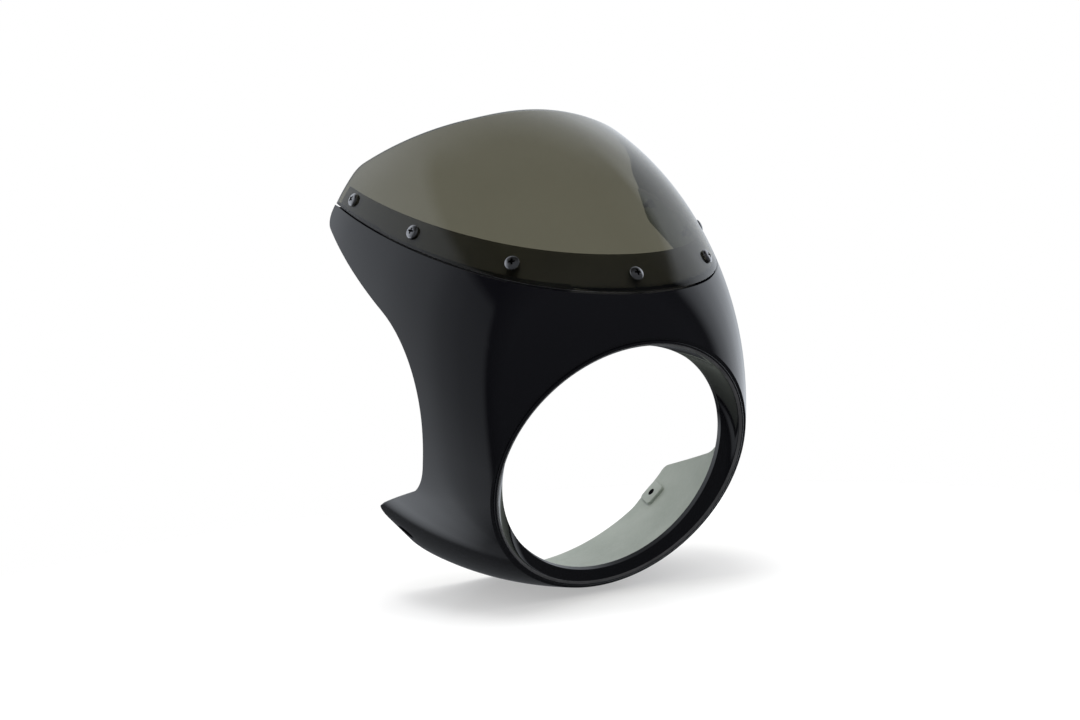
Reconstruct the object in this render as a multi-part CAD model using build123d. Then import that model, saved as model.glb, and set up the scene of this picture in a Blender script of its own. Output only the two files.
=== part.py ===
from build123d import *
import os
from math import cos, exp, hypot, pi, radians, sin, tan

# Headlight cowl: a moulded shell round a lamp opening, with a smoked screen screwed to its upper flange.
# Millimetres. -Y is forward and +Z is up. Depths are drawn from the middle of the lip, and the finished pieces
# move forward so that the origin is the middle of the lamp seat.

# Lamp opening: a funnel leads from the lip back to a round seat
SEAT_D = 179.0          # bore of the lamp seat
SEAT_REAR = 15.0        # rear edge of the seat, behind the middle of the lip
SEAT_LENGTH = 4.0
FUNNEL_FLARE = 8.0      # the funnel's front edge stands out this far from the seat
FUNNEL_WALL = 3.0
FUNNEL_ROUND = 3.0      # rounding from the bead into the funnel
BEAD_WIDTH = 3.0        # raised bead round the funnel
BEAD_RISE = 1.4
BEAD_ROUND = 1.0
LIP_WIDTH = 2.5         # from the bead out to the circle on which the outer skin starts
LIP_LEAN = 4.4          # degrees that the top of the lip leans forward
LIP_PLATE = 3.5         # thickness of the ring between the funnel and the skin
PLATE_INSET = 1.0       # the ring is smaller than the lip by this, so that the skin covers its rim

# Outer skin: the crown, side and keel lines all run from the lip to SKIN_BACK
SKIN_BACK = 250.0
FLARE_LENGTH = 20.0     # run over which the skin flares away from the lip
CROWN_REACH = 220.0     # height of the crown line above the lamp axis, at SKIN_BACK
CROWN_BOW = 2.3         # how early the crown line rises; 1 is a straight line
CROWN_FLARE = 10.0
SIDE_REACH = 164.0      # half width at SKIN_BACK
SIDE_BOW = 2.1
SIDE_FLARE = 5.0
KEEL_REACH = 182.0      # depth of the keel line below the lamp axis, at SKIN_BACK
KEEL_BOW = 1.85
SHOULDER = 0.06         # share by which the upper shoulders stand out from an ellipse

# Walls and the joint between cowl and screen
WALL = 3.0
SCREEN_WALL = 3.0
SCREEN_REST = 0.2       # air between the screen and the flange
SEAM_Z = 127.0          # lower edge of the screen
SEAM_GAP = 1.2
FLANGE_WALL = 3.0
FLANGE_NOSE_H = 20.0    # height of the flange above the seam at the nose
FLANGE_REAR_H = 15.0    # the same at the rear
FLANGE_ROOT = 5.0       # depth below the seam of the thick root that carries the flange
FLANGE_SETBACK = 5.0    # the flange ends this far in front of the screen's rear edge
FLANGE_BITE = 1.5       # depth below the skin from which the root is part of the wall

# Side view of the cowl, as depth behind the opening and height
REAR_Y = 240.0          # rear edge of the cowl at the seam
REAR_DROP = 14.0        # height of that edge below the seam
REAR_ROUND = 13.0
WAIST_Y = 55.5
WAIST_TOP_Z = 62.5
WAIST_TOP_ROUND = 92.0
WAIST_LOW_Z = -29.0
WAIST_LOW_ROUND = 36.0
EAR_TIP_Y = 128.0
EAR_TIP_Z = -82.0
EAR_TIP_ROUND = 9.0
HEM_Y = 122.0           # lower rear edge
HEM_Z = -118.0          # where the ear's rear edge runs into it
HEM_ROUND = 30.0

# Side view of the screen
SCREEN_CORNER_Z = 157.0
SCREEN_CORNER_ROUND = 14.0
SCREEN_TOP_Y = 187.0    # trailing edge at the crown
SCREEN_TOP_Z = 211.0
SCREEN_TOP_ROUND = 20.0

# Ears
EAR_HOLE_Y = 113.0
EAR_HOLE_ANGLE = -41.0  # degrees round the lamp axis from the horizontal
EAR_HOLE_D = 6.5
EAR_FACET_TILT = 4.0    # degrees of the flat on the ear against the skin
EAR_FACET_RUN = 10.0    # the flat starts this far in front of the hole
EAR_FLAT_SPAN = 80.0
EAR_POCKET_D = 15.0
EAR_POCKET_DEPTH = 2.5
EAR_PAD = 20.0          # raised square pad inside
EAR_PAD_RISE = 3.0
EAR_PAD_ROUND = 4.0

# Screws, nuts and washers
SCREW_PITCH = 87.0      # measured along the screw line from the nose
SCREWS_A_SIDE = 3
SCREW_Z = 137.5
THREAD_D = 5.0
SCREW_LENGTH = 14.0
SCREW_TIP = 0.6         # chamfer at the screw's end
HEAD_D = 10.5
HEAD_H = 3.2
HEAD_RIM = 1.2          # straight rim below the dome
RECESS_SPAN = 5.0
RECESS_SLOT = 1.1
RECESS_DEPTH = 1.7
SCREW_TURN = 37.0       # degrees between the cross slots of neighbouring screws
SCREEN_HOLE_D = 6.0
FLANGE_HOLE_D = 5.6
WASHER_D = 10.0
WASHER_H = 1.0
WASHER_HOLE_D = 5.3
NUT_FLATS = 8.0
NUT_H = 4.0
NUT_HOLE_D = 5.1
SEAT_ROOM = 0.5         # radial room of the flat seat round each washer
SEAT_SINK = 0.5         # depth of that seat in the flange

# Fineness of the skin's point grid, and the size of the trimming blocks
RIBS = 37
RIB_SPAN = radians(94)  # the grid runs a little past the middle plane, top and bottom
STATIONS = 25
STATION_CROWD = 1.8     # above 1, stations crowd towards the lip
BLOCK = 400.0
SCREW_LINE_STEP = radians(0.1)
NORMAL_STEP = 1e-3      # half step, along and round the skin, over which its normal is taken
HALVINGS = 50           # steps of the search for a place along a rib

LEAN = tan(radians(LIP_LEAN))
FLANGE_INSET = SCREEN_WALL + SCREEN_REST
GRIP = FLANGE_INSET + FLANGE_WALL - SEAT_SINK    # from a screw's head to its washer
FUNNEL_R = SEAT_D / 2 + FUNNEL_FLARE
BEAD_R = FUNNEL_R + BEAD_WIDTH
LIP_R = BEAD_R + LIP_WIDTH


# Outer skin

def line_reach(run, full_run, reach, bow, flare):
    """Distance from the lamp axis of a crown, side or keel line, a given run behind the lip."""
    share = run / full_run
    short = flare * (1 - exp(-run / FLARE_LENGTH))
    return LIP_R + short + (reach - LIP_R - flare) * (1 - (1 - share) ** bow)


def skin_point(angle, way):
    """Point of the outer skin at an angle round the lamp axis, with way 0 at the lip and 1 at the back."""
    share = way ** STATION_CROWD
    crown_start = -LEAN * LIP_R
    keel_start = LEAN * LIP_R
    crown_run = (SKIN_BACK - crown_start) * share
    side_run = SKIN_BACK * share
    keel_run = (SKIN_BACK - keel_start) * share
    crown = line_reach(crown_run, SKIN_BACK - crown_start, CROWN_REACH, CROWN_BOW, CROWN_FLARE)
    side = line_reach(side_run, SKIN_BACK, SIDE_REACH, SIDE_BOW, SIDE_FLARE)
    keel = line_reach(keel_run, SKIN_BACK - keel_start, KEEL_REACH, KEEL_BOW, 0)
    c, s = cos(angle), sin(angle)
    lift = s * (3 - s * s) / 2      # eases from -1 at the keel to 1 at the crown
    tall = (crown + keel) / 2 + (crown - keel) / 2 * lift
    swell = SHOULDER * (1 - exp(-side_run / FLARE_LENGTH))
    full = 1 + swell * (1 + lift) / 2 * sin(2 * angle) ** 2
    radius = full / hypot(c / side, s / tall)
    crown_y = crown_start + crown_run
    keel_y = keel_start + keel_run
    depth = side_run + (crown_y - keel_y) / 2 * s + ((crown_y + keel_y) / 2 - side_run) * s * s
    return Vector(radius * c, depth, radius * s)


def skin_normal(angle, way):
    """Outward normal of the skin."""
    low, high = max(way - NORMAL_STEP, 0), min(way + NORMAL_STEP, 1)
    along = skin_point(angle, high) - skin_point(angle, low)
    round_axis = skin_point(angle + NORMAL_STEP, way) - skin_point(angle - NORMAL_STEP, way)
    return along.cross(round_axis).normalized()


def skin_face(inset):
    """Right half of the skin and a little of the left, moved inwards by an inset."""
    rows = []
    for rib in range(RIBS):
        angle = RIB_SPAN * (2 * rib / (RIBS - 1) - 1)
        ways = [station / (STATIONS - 1) for station in range(STATIONS)]
        rows.append([skin_point(angle, way) - skin_normal(angle, way) * inset for way in ways])
    return Face.make_surface_from_array_of_points(rows, min_deg=3, max_deg=5)


def layer(outer_inset, inner_inset):
    """Right half of a wall between two insets of the skin."""
    return Solid.thicken(skin_face(outer_inset), outer_inset - inner_inset, Vector(1, 0, 0))


def way_at(angle, measure, target):
    """Way along a rib at which a rising measure of its point reaches a target."""
    low, high = 0.0, 1.0
    for _ in range(HALVINGS):
        middle = (low + high) / 2
        if measure(skin_point(angle, middle)) < target:
            low = middle
        else:
            high = middle
    return low


def skin_place(angle, way):
    """Place on the skin with its Z axis outwards and its Y axis towards the rear."""
    normal = skin_normal(angle, way)
    across = Vector(0, 1, 0).cross(normal)
    return Location(Plane(skin_point(angle, way), x_dir=across, z_dir=normal))


def mirrored(half):
    """A right half joined with its mirror image."""
    return half + mirror(half, about=Plane.YZ)


# Side views, drawn as depth and height

def side_block(points, rounds):
    """Block over the right half, with a side view given as corners and their rounding radii."""
    outline = FilletPolyline(*points, radius=rounds, close=True)
    return extrude(Plane.YZ * make_face(outline), BLOCK / 2)


def cowl_block():
    front, bottom = -BLOCK / 4, -BLOCK / 2
    points = [
        (front, bottom), (front, SEAM_Z), (REAR_Y, SEAM_Z), (REAR_Y, SEAM_Z - REAR_DROP),
        (WAIST_Y, WAIST_TOP_Z), (WAIST_Y, WAIST_LOW_Z), (EAR_TIP_Y, EAR_TIP_Z), (HEM_Y, HEM_Z), (HEM_Y, bottom),
    ]
    rounds = [0, 0, 0, REAR_ROUND, WAIST_TOP_ROUND, WAIST_LOW_ROUND, EAR_TIP_ROUND, HEM_ROUND, 0]
    return side_block(points, rounds)


def screen_block(rear):
    front, top = -BLOCK / 4, BLOCK
    low = SEAM_Z + SEAM_GAP
    points = [
        (front, low), (rear, low), (rear, SCREEN_CORNER_Z), (SCREEN_TOP_Y, SCREEN_TOP_Z), (SCREEN_TOP_Y, top),
        (front, top),
    ]
    return side_block(points, [0, 0, SCREEN_CORNER_ROUND, SCREEN_TOP_ROUND, 0, 0])


def flange_block(low, nose_high, rear_high):
    front, rear = -BLOCK / 4, REAR_Y - FLANGE_SETBACK
    points = [(front, low), (rear, low), (rear, rear_high), (0, nose_high), (front, nose_high)]
    return side_block(points, [0] * len(points))


# Lamp opening

def lip_slab(front, rear):
    """Slab between two planes that lean with the lip, given as depths behind the lip."""
    slab = Box(BLOCK, rear - front, BLOCK, align=(Align.CENTER, Align.MIN, Align.CENTER))
    return Rot(LIP_LEAN, 0, 0) * Pos(0, front, 0) * slab


def lamp_bar(radius):
    """Long round bar on the lamp axis."""
    return Rot(90, 0, 0) * Cylinder(radius, BLOCK)


def seat_bar(radius, rear):
    """Round bar on the lamp axis, from the front of the seat to a depth."""
    front = SEAT_REAR - SEAT_LENGTH
    return Pos(0, (front + rear) / 2, 0) * Rot(90, 0, 0) * Cylinder(radius, rear - front)


def funnel(front_radius, front, seat_radius):
    """Tapered plug from a circle that leans with the lip, at a depth behind it, to the front of the seat."""
    wide = Plane.XZ.rotated((LIP_LEAN, 0, 0)).offset(-front) * Circle(front_radius)
    narrow = Plane.XZ.offset(SEAT_LENGTH - SEAT_REAR) * Circle(seat_radius)
    return loft([wide, narrow], ruled=True)


def lamp_ring():
    """Plate, bead, funnel and seat round the lamp opening."""
    seat_r = SEAT_D / 2
    bead = lamp_bar(BEAD_R) & lip_slab(-BEAD_RISE, LIP_PLATE)
    plate = lamp_bar(LIP_R - PLATE_INSET / 2) & lip_slab(0, LIP_PLATE)
    wall = funnel(FUNNEL_R + FUNNEL_WALL, 0, seat_r + FUNNEL_WALL) + seat_bar(seat_r + FUNNEL_WALL, SEAT_REAR)
    ring = bead + plate + wall - funnel(FUNNEL_R, -BEAD_RISE, seat_r) - seat_bar(seat_r, BLOCK / 4)
    ring = fillet(front_rims(ring)[0], FUNNEL_ROUND)
    return fillet(front_rims(ring)[-1], BEAD_ROUND)


def front_rims(ring):
    """Edges on the front of the bead, from the inside out."""
    front = Plane.XZ.rotated((LIP_LEAN, 0, 0)).offset(BEAD_RISE)
    rims = [edge for edge in ring.edges() if front.contains(edge @ 0) and front.contains(edge @ 0.5)]
    return sorted(rims, key=lambda edge: edge.length)


# Ears

def ear_place(depth):
    """Place on the skin of the right ear, at the angle of its hole."""
    angle = radians(EAR_HOLE_ANGLE)
    return skin_place(angle, way_at(angle, lambda point: point.Y, depth))


def ear_flat():
    """Block that cuts the flat on the ear, tilted into the skin towards the rear."""
    block = Box(EAR_FLAT_SPAN, EAR_FLAT_SPAN, EAR_FLAT_SPAN, align=(Align.CENTER, Align.CENTER, Align.MIN))
    return ear_place(EAR_HOLE_Y - EAR_FACET_RUN) * Rot(-EAR_FACET_TILT, 0, 0) * block


def ear_pad():
    """Raised square pad on the inside of the ear."""
    outline = RectangleRounded(EAR_PAD, EAR_PAD, EAR_PAD_ROUND)
    top = WALL + EAR_PAD_RISE
    return ear_place(EAR_HOLE_Y) * Pos(0, 0, -top) * extrude(outline, EAR_PAD_RISE + WALL / 2)


def ear_hole():
    """Pocket for a bolt's head, and the hole through its floor."""
    pocket = Cylinder(EAR_POCKET_D / 2, EAR_PAD, align=(Align.CENTER, Align.CENTER, Align.MIN))
    bore = Cylinder(EAR_HOLE_D / 2, 2 * EAR_PAD)
    return ear_place(EAR_HOLE_Y) * (Pos(0, 0, -EAR_POCKET_DEPTH) * pocket + bore)


# Cowl and screen

def screen_flange():
    """Right half of the flange that stands behind the screen, with the thick root that carries it."""
    low = SEAM_Z - FLANGE_ROOT
    block = flange_block(low, SEAM_Z + FLANGE_NOSE_H, SEAM_Z + FLANGE_REAR_H)
    band = layer(FLANGE_BITE, FLANGE_INSET + FLANGE_WALL) & block
    step = layer(FLANGE_BITE / 2, FLANGE_INSET) & flange_block(SEAM_Z, BLOCK / 2, BLOCK / 2)
    return band - step


def cowl_shell(places):
    half = (layer(0, WALL) & cowl_block()) + screen_flange()
    half = half + ear_pad() - ear_flat() - ear_hole()
    shell = mirrored(half) - lamp_bar(LIP_R - LIP_PLATE) + lamp_ring()
    return shell - [place * flange_hole() for place in places]


def windscreen(places):
    screen = mirrored(layer(0, SCREEN_WALL) & screen_block(REAR_Y))
    return screen - [place * Cylinder(SCREEN_HOLE_D / 2, 2 * GRIP) for place in places]


# Screws, nuts and washers: their own frame has the skin at zero and the head above it

def screw_line():
    """Angle and length along the line of screws, from the nose to the rear edge."""
    marks = [(pi / 2, 0.0)]
    last = skin_point(pi / 2, way_at(pi / 2, lambda point: point.Z, SCREW_Z))
    angle = pi / 2
    while last.Y < REAR_Y:
        angle -= SCREW_LINE_STEP
        point = skin_point(angle, way_at(angle, lambda p: p.Z, SCREW_Z))
        marks.append((angle, marks[-1][1] + (point - last).length))
        last = point
    return marks


def screw_angle(marks, length):
    """Angle round the lamp axis at a length along the line of screws."""
    for (angle, at), (next_angle, next_at) in zip(marks, marks[1:]):
        if next_at >= length:
            return angle + (next_angle - angle) * (length - at) / (next_at - at)
    return marks[-1][0]


def screw_places():
    """Places of all the screws, from the left rear round the nose to the right rear."""
    marks = screw_line()
    places = []
    for number in range(-SCREWS_A_SIDE, SCREWS_A_SIDE + 1):
        angle = screw_angle(marks, abs(number) * SCREW_PITCH)
        if number < 0:
            angle = pi - angle
        place = skin_place(angle, way_at(angle, lambda point: point.Z, SCREW_Z))
        places.append(place * Rot(0, 0, number * SCREW_TURN))
    return places


def flange_hole():
    """Hole in the flange and the flat seat for the washer behind it."""
    seat = Cylinder(WASHER_D / 2 + SEAT_ROOM, GRIP, align=(Align.CENTER, Align.CENTER, Align.MAX))
    return Cylinder(FLANGE_HOLE_D / 2, 4 * GRIP) + Pos(0, 0, -GRIP) * seat


def screw():
    """Pan head screw with a cross recess."""
    shank_r, head_r = THREAD_D / 2, HEAD_D / 2
    rim, top, end = (head_r, HEAD_RIM), (0, HEAD_H), -SCREW_LENGTH
    dome = EllipticalCenterArc((0, HEAD_RIM), head_r, HEAD_H - HEAD_RIM, arc_size=90)
    tip = [(0, end), (shank_r - SCREW_TIP, end), (shank_r, end + SCREW_TIP)]
    body = Polyline(top, *tip, (shank_r, 0), (head_r, 0), rim)
    turned = revolve(Plane.XZ * make_face([dome, body]), Axis.Z)
    slot = Box(RECESS_SPAN, RECESS_SLOT, RECESS_DEPTH, align=(Align.CENTER, Align.CENTER, Align.MAX))
    return turned - Pos(0, 0, HEAD_H) * (slot + Rot(0, 0, 90) * slot)


def washer():
    ring = Circle(WASHER_D / 2) - Circle(WASHER_HOLE_D / 2)
    return Pos(0, 0, -GRIP) * extrude(ring, -WASHER_H)


def nut():
    outline = RegularPolygon(NUT_FLATS / 2, 6, major_radius=False) - Circle(NUT_HOLE_D / 2)
    return Pos(0, 0, -GRIP - WASHER_H) * extrude(outline, -NUT_H)


def set_of(piece, places):
    """Copies of a fastener at every screw."""
    return Compound(children=[place * piece for place in places])


def to_seat():
    """Move that brings the middle of the lamp seat to the origin."""
    return Pos(0, SEAT_LENGTH / 2 - SEAT_REAR, 0)


if __name__ == "__main__":
    os.makedirs("parts", exist_ok=True)
    screws = screw_places()
    export_step(to_seat() * cowl_shell(screws), "parts/cowl_shell.step")
    export_step(to_seat() * windscreen(screws), "parts/windscreen.step")
    seated = [to_seat() * place for place in screws]
    export_step(set_of(screw(), seated), "parts/screen_screws.step")
    export_step(set_of(nut(), seated), "parts/screen_nuts.step")
    export_step(set_of(washer(), seated), "parts/nut_washers.step")
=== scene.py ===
from math import atan2, cos, pi, radians, sin, tan

import bpy
import numpy as np
from mathutils import Matrix, Vector


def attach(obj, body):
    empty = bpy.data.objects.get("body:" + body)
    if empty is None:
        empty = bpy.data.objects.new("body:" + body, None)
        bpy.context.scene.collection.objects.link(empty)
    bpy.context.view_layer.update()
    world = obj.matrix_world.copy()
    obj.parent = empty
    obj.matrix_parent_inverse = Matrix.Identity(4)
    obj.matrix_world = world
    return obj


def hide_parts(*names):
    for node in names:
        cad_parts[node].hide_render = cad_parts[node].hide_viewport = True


# Headlight cowl: gloss black moulding, smoked screen and its screws. Depths are drawn in metres from the
# middle of the lip, and the finished pieces move forward to the frame of the solids, whose origin is in the
# lamp seat.

MM = 0.001

# Lamp opening
SEAT_R = 89.5 * MM
SEAT_FRONT, SEAT_REAR = 11 * MM, 15 * MM
SEAT_EDGE = 0.3 * MM
FUNNEL_R = 97.5 * MM
FUNNEL_ROUND = 3 * MM
FUNNEL_BOW = 0.55 * MM
# Thin ring between bead and funnel that carries a painted highlight line
PAINTED_HIGHLIGHT_R = (96.9 * MM, 98.6 * MM)
PAINTED_HIGHLIGHT_DEPTH = 0.3 * MM
BEAD_R = 100.5 * MM
BEAD_RISE = 1.4 * MM
BEAD_ROUND = 1.0 * MM
LIP_R = 103 * MM
LEAN = tan(radians(4.4))
TO_SEAT = Matrix.Translation((0, -(SEAT_FRONT + SEAT_REAR) / 2, 0))

# Outer skin
SKIN_BACK = 250 * MM
FLARE_LENGTH = 20 * MM
CROWN_REACH, CROWN_BOW, CROWN_FLARE = 220 * MM, 2.3, 10 * MM
SIDE_REACH, SIDE_BOW, SIDE_FLARE = 164 * MM, 2.1, 5 * MM
KEEL_REACH, KEEL_BOW = 182 * MM, 1.85
SHOULDER = 0.06
WALL = 3 * MM

# Seam, flange and screen
SEAM_Z = 127 * MM
SEAM_GAP = 1.2 * MM
FLANGE_INSET = 3.2 * MM
FLANGE_NOSE_H, FLANGE_REAR_H = 20 * MM, 15 * MM
REAR_Y = 240 * MM
FLANGE_REAR_Y = REAR_Y - 5 * MM
SCREEN_LOW = SEAM_Z + SEAM_GAP

# Side views, as corners of depth, height and rounding radius in millimetres
FAR = 400
COWL_CORNERS = [
    (-FAR, -FAR, 0), (-FAR, 127, 0), (240, 127, 0), (240, 113, 13), (55.5, 62.5, 92), (55.5, -29, 36),
    (128, -82, 9), (122, -118, 30), (122, -FAR, 0),
]
SCREEN_CORNERS = [
    (-FAR, -FAR, 0), (240, -FAR, 0), (240, 157, 14), (187, 211, 20), (187, FAR, 0), (-FAR, FAR, 0),
]

# Ears
EAR_HOLE_Y = 113 * MM
EAR_ANGLE = radians(-41)
EAR_FLAT_TILT = radians(4)
EAR_FLAT_RUN = 10 * MM
EAR_FLAT_REACH = 60 * MM
EAR_FLAT_SOFT = 0.25 * MM
EAR_HOLE_R = 3.25 * MM
EAR_POCKET_R, EAR_POCKET_DEPTH = 7.5 * MM, 2.5 * MM
EAR_PAD, EAR_PAD_RISE, EAR_PAD_ROUND, EAR_PAD_EDGE = 20 * MM, 3 * MM, 4 * MM, 0.8 * MM

# Screws, nuts and washers
SCREW_Z = 137.5 * MM
SCREW_PITCH = 87 * MM
SCREWS_A_SIDE = 3
SCREW_TURN = radians(37)
GRIP = 5.7 * MM
FLANGE_HOLE_R = 2.8 * MM
SCREEN_HOLE_R = 3 * MM
WASHER_SEAT_R = 5.5 * MM
HEAD_R, HEAD_H, HEAD_RIM, HEAD_EDGE = 5.25 * MM, 3.2 * MM, 1.2 * MM, 0.3 * MM
RECESS_SPAN, RECESS_SLOT, RECESS_DEPTH = 6.4 * MM, 1.7 * MM, 1.7 * MM
RECESS_TAPER = (0.5, 0.7, 1)
THREAD_R, THREAD_DEPTH, THREAD_PITCH, THREAD_TURNS = 2.5 * MM, 0.4 * MM, 0.8 * MM, 9
SCREW_LENGTH, SCREW_TIP = 14 * MM, 0.6 * MM
WASHER_R, WASHER_H, WASHER_HOLE_R, WASHER_EDGE = 5 * MM, 1 * MM, 2.65 * MM, 0.2 * MM
NUT_FLATS, NUT_H, NUT_HOLE_R, NUT_EDGE = 8 * MM, 4 * MM, 2.55 * MM, 0.4 * MM

# Camera, worked out from the round opening and the screw line
CAMERA_PLACE = (-0.41301, -0.61681, 0.36463)
CAMERA_RIGHT = Vector((0.89001, -0.44131, 0.11456))
CAMERA_DOWN = Vector((-0.07042, -0.38129, -0.92177))
CAMERA_AHEAD = Vector((0.45047, 0.81232, -0.37043))
CAMERA_LENS, CAMERA_SENSOR = 38.16, 36
CAMERA_NEAR, CAMERA_FAR = 0.01, 50

# Finishes
SMOKE = (0.115, 0.111, 0.081)
SMOKE_SPREAD = 1.04
SHADOW_SMOKE = 0.25
NOISE_LOW, NOISE_HIGH = 0.3, 0.7

# Studio: soft light from above, and walls that the gloss mirrors. Their levels go by degrees round from the
# front, and the fades by degrees up from the horizon, with one of its own for the wall behind the cowl.
LIGHT_BELOW, LIGHT_ABOVE = 0.1, 1.2
KEY_PLACE, KEY_AIM, KEY_WIDTH, KEY_POWER = (-0.25, 0.3, 1.4), (0, 0.1, 0), 0.7, 11
WALL_R = 3
WALL_LEVELS = [
    (-180, 1), (-165, 1), (-146, 0.75), (-129, 0.86), (-113, 0.72), (-106, 0.5), (-97, 0.38), (-84, 0.34),
    (-80, 0), (76, 0), (84, 0.75), (95, 1.2), (108, 1.25), (120, 0.95), (130, 0.85), (145, 1), (180, 1),
]
BACK_SHARE = [(-180, 1), (-165, 1), (-148, 0), (122, 0), (140, 1), (180, 1)]
BACK_FADE = [
    (-90, 0.05), (-45, 0.08), (-25, 0.15), (-14, 0.4), (-4, 0.9), (6, 1), (24, 1), (38, 0.5), (54, 0.1),
    (70, 0),
]
WALL_FADE = [
    (-90, 0.05), (-68, 0.25), (-53, 1.1), (-45, 1.45), (-25, 1.5), (-8, 1.15), (8, 1), (24, 0.9), (37, 0.75),
    (43, 0.1), (60, 0),
]
WALL_PEAK, FADE_PEAK = 1.5, 1.5
WALL_WHITE = (0.91, 0.96, 1.03, 1)
FRONT_GLOW, FRONT_MOST = 0.25, 0.085

# Floor, with its mirror and its rim as two distances from the keel and the shares there
FLOOR_R = 0.6
FLOOR_LEAN = radians(24.2)
FLOOR_TOUCH_Y, FLOOR_TOUCH_Z = 79 * MM, -147 * MM
FLOOR_SHADE, FLOOR_GLOW = 0.6, 0.43
FLOOR_MIRROR = (0.1, 0.33, 0.08, 0)
FLOOR_MIRROR_ROUGH = 0.12
FLOOR_RIM = (0.38, 0.58, 0, 1)

# Fineness of the meshes
RIB_STEP = 3.6 * MM
STATIONS = 52
CROWD = 1.5
SCREEN_COLUMNS = 160
SCREEN_ROWS = 40
FLANGE_ROWS = 6
FUNNEL_RINGS = (0.15, 0.3, 0.45, 0.6, 0.75, 0.88, 0.97, 1)
ROUND_STEPS = 6
ROUND_SIDES = 48
CORNER_STEPS = 48
EDGE_ROUND = 0.6 * MM
SCREEN_EDGE_ROUND = 0.8 * MM
EDGE_ANGLE = radians(40)
COWL_CREASE, SCREEN_CREASE, SCREW_CREASE, NUT_CREASE, WASHER_CREASE = 35, 40, 32, 25, 40
DOME_START = 0.12
CUTTER_REACH = 20 * MM

# Searches along the skin
SLOPE_STEP = 1e-4
SHARE_LOW, SHARE_HIGH = 0.002, 0.999
HALVINGS = 40
COWL_SAMPLES, FLANGE_SAMPLES, SCREEN_SAMPLES = 2400, 900, 4000
REAR_ANGLE = pi / 5
TOUCHING = 1e-6
WELD = 1e-5
LIP_SLACK = 1.001

# Material slots of the cowl, where each outside finish is followed by that of its inside, and of the screws
# Slot 4 of the cowl is a painted highlight line on the lip.
PAINT, RAW, FLANGE, PAINTED_HIGHLIGHT = 0, 1, 2, 4
# Slot 1 of the screws is painted shade in their cross recess.
PAINTED_SHADE = 1


# Outer skin

def line_reach(share, full_run, reach, bow, flare):
    """Distance from the lamp axis of a crown, side or keel line, at a share of its run behind the lip."""
    short = flare * (1 - np.exp(-share * full_run / FLARE_LENGTH))
    return LIP_R + short + (reach - LIP_R - flare) * (1 - (1 - share) ** bow)


def skin(angle, share):
    """Points of the outer skin at angles round the lamp axis and shares of the way from lip to back."""
    lead = LEAN * LIP_R
    crown = line_reach(share, SKIN_BACK + lead, CROWN_REACH, CROWN_BOW, CROWN_FLARE)
    side = line_reach(share, SKIN_BACK, SIDE_REACH, SIDE_BOW, SIDE_FLARE)
    keel = line_reach(share, SKIN_BACK - lead, KEEL_REACH, KEEL_BOW, 0)
    c, s = np.cos(angle), np.sin(angle)
    lift = s * (3 - s * s) / 2
    tall = (crown + keel) / 2 + (crown - keel) / 2 * lift
    swell = SHOULDER * (1 - np.exp(-SKIN_BACK * share / FLARE_LENGTH))
    full = 1 + swell * (1 + lift) / 2 * np.sin(2 * angle) ** 2
    radius = full / np.hypot(c / side, s / tall)
    depth = SKIN_BACK * share - lead * (1 - share) * s
    return np.stack([radius * c, depth, radius * s], -1)


def skin_normal(angle, share):
    step = SLOPE_STEP
    along = skin(angle, share + step) - skin(angle, share - step)
    across = skin(angle + step, share) - skin(angle - step, share)
    normal = np.cross(along, across)
    return normal / np.linalg.norm(normal, axis=-1, keepdims=True)


def inset_skin(angle, share, inset):
    return skin(angle, share) - skin_normal(angle, share) * inset


def share_where(angle, beyond):
    """Share along each rib at which a test of its point turns true."""
    low, high = np.full(np.shape(angle), SHARE_LOW), np.full(np.shape(angle), SHARE_HIGH)
    for _ in range(HALVINGS):
        middle = (low + high) / 2
        over = beyond(middle)
        low, high = np.where(over, low, middle), np.where(over, middle, high)
    return (low + high) / 2


def skin_place(angle, share):
    """Place on the skin with Z outwards and Y towards the rear."""
    normal = Vector(skin_normal(angle, share))
    across = Vector((0, 1, 0)).cross(normal).normalized()
    turn = Matrix((across, normal.cross(across), normal)).transposed().to_4x4()
    return Matrix.Translation(skin(angle, share)) @ turn


def share_at_height(angle, height):
    """Share along each rib at which the skin rises past a height."""
    return share_where(angle, lambda share: skin(angle, share)[..., 2] > height)


# Side views

def rounded_line(corners):
    """Points of a closed side view: straight runs with a round at each corner that has a radius."""
    points = []
    for number, (y, z, radius) in enumerate(corners):
        here = Vector((y, z))
        if not radius:
            points.append(here)
            continue
        before = (Vector(corners[number - 1][:2]) - here).normalized()
        after = (Vector(corners[number + 1][:2]) - here).normalized()
        half = before.angle(after) / 2
        middle = here + (before + after).normalized() * (radius / sin(half))
        start = here + before * (radius / tan(half)) - middle
        turn = start.angle_signed(here + after * (radius / tan(half)) - middle)
        for step in range(CORNER_STEPS + 1):
            points.append(middle + Matrix.Rotation(-turn * step / CORNER_STEPS, 2) @ start)
    return np.array([point[:] for point in points]) * MM


def outside(points, outline):
    """Which of the points lie outside a closed side view."""
    y, z = points[..., 1, None], points[..., 2, None]
    y0, z0 = outline[:, 0], outline[:, 1]
    y1, z1 = np.roll(y0, -1), np.roll(z0, -1)
    spans = (z0 > z) != (z1 > z)
    rise = np.where(z1 == z0, 1, z1 - z0)
    crossings = spans & (y < y0 + (z - z0) / rise * (y1 - y0))
    return crossings.sum(-1) % 2 == 0


def lengths_along(points):
    return np.concatenate([[0], np.cumsum(np.linalg.norm(np.diff(points, axis=0), axis=1))])


def evenly(angles, points, step):
    """Angles that stand at equal lengths along a line of points, about a step apart."""
    lengths = lengths_along(points)
    marks = np.linspace(0, lengths[-1], round(lengths[-1] / step) + 1)
    return np.interp(marks, lengths, angles)


# Modelling steps

def activate(obj):
    bpy.ops.object.select_all(action="DESELECT")
    obj.select_set(True)
    bpy.context.view_layer.objects.active = obj


def added(name):
    """The primitive just added, under its own name."""
    obj = bpy.context.object
    obj.name = obj.data.name = name
    return obj


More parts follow.
